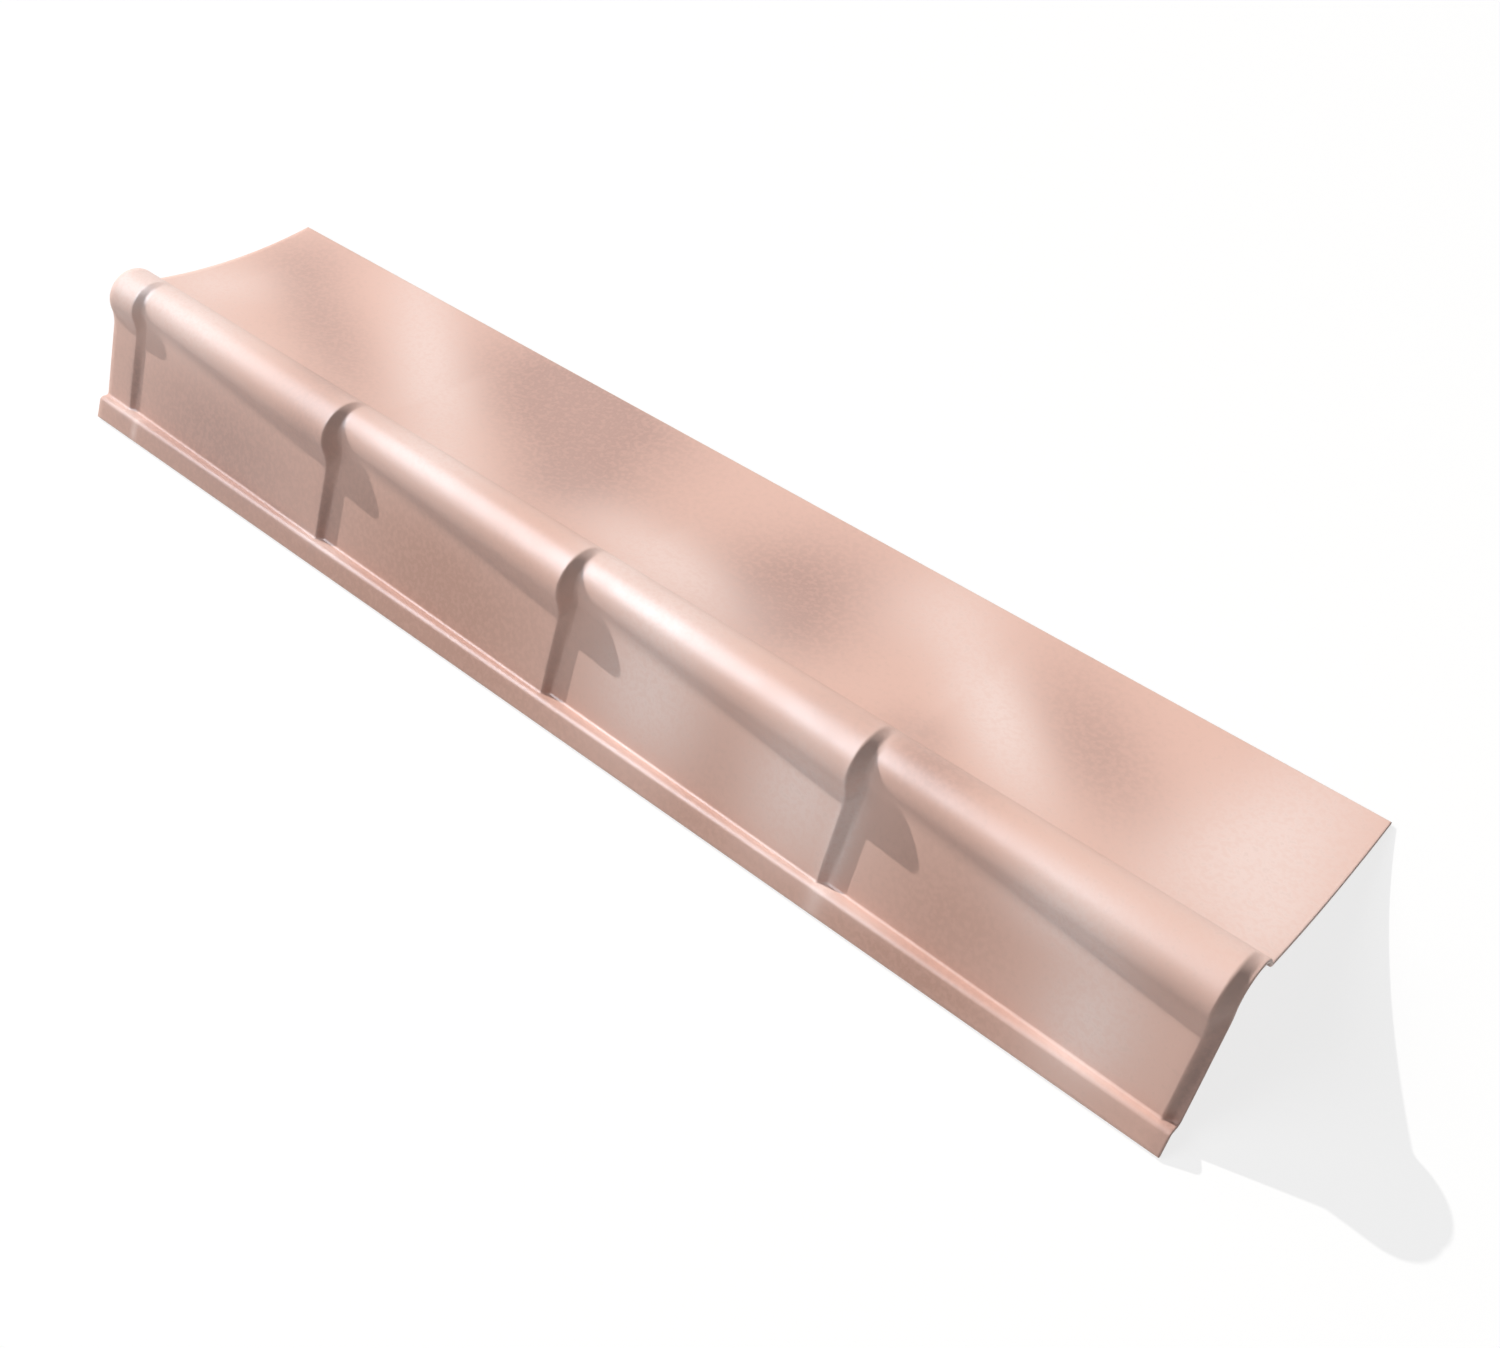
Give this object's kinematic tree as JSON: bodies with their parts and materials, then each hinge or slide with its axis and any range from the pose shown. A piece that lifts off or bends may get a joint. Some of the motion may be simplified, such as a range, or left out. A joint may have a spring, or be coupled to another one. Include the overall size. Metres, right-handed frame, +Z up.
{
  "type": "side flashing",
  "caption": "Thin formed roof edge flashing with a hollow flange, a round bead over a skirt stepped in tapered tile courses, a ledge and a drip lip; closes the side of a tile-effect roof",
  "frame": {"origin": "centre of the footprint, at the level of the floor the piece lies on", "axes": "+X runs along the length down the roof slope, from the plain upper lap to the trimmed lower end; +Y runs from the drip lip to the flange edge; +Z is up as the piece lies on its lip foot and flange edge"},
  "size_m": [0.9158, 0.2218, 0.082],
  "materials": {
    "resin": "satin weatherable resin, pale terracotta with soft clouds of browner and paler tint and a fine sandy speckle"
  },
  "bodies": {
    "root": {"side_flashing": "resin"}
  },
  "joints": []
}
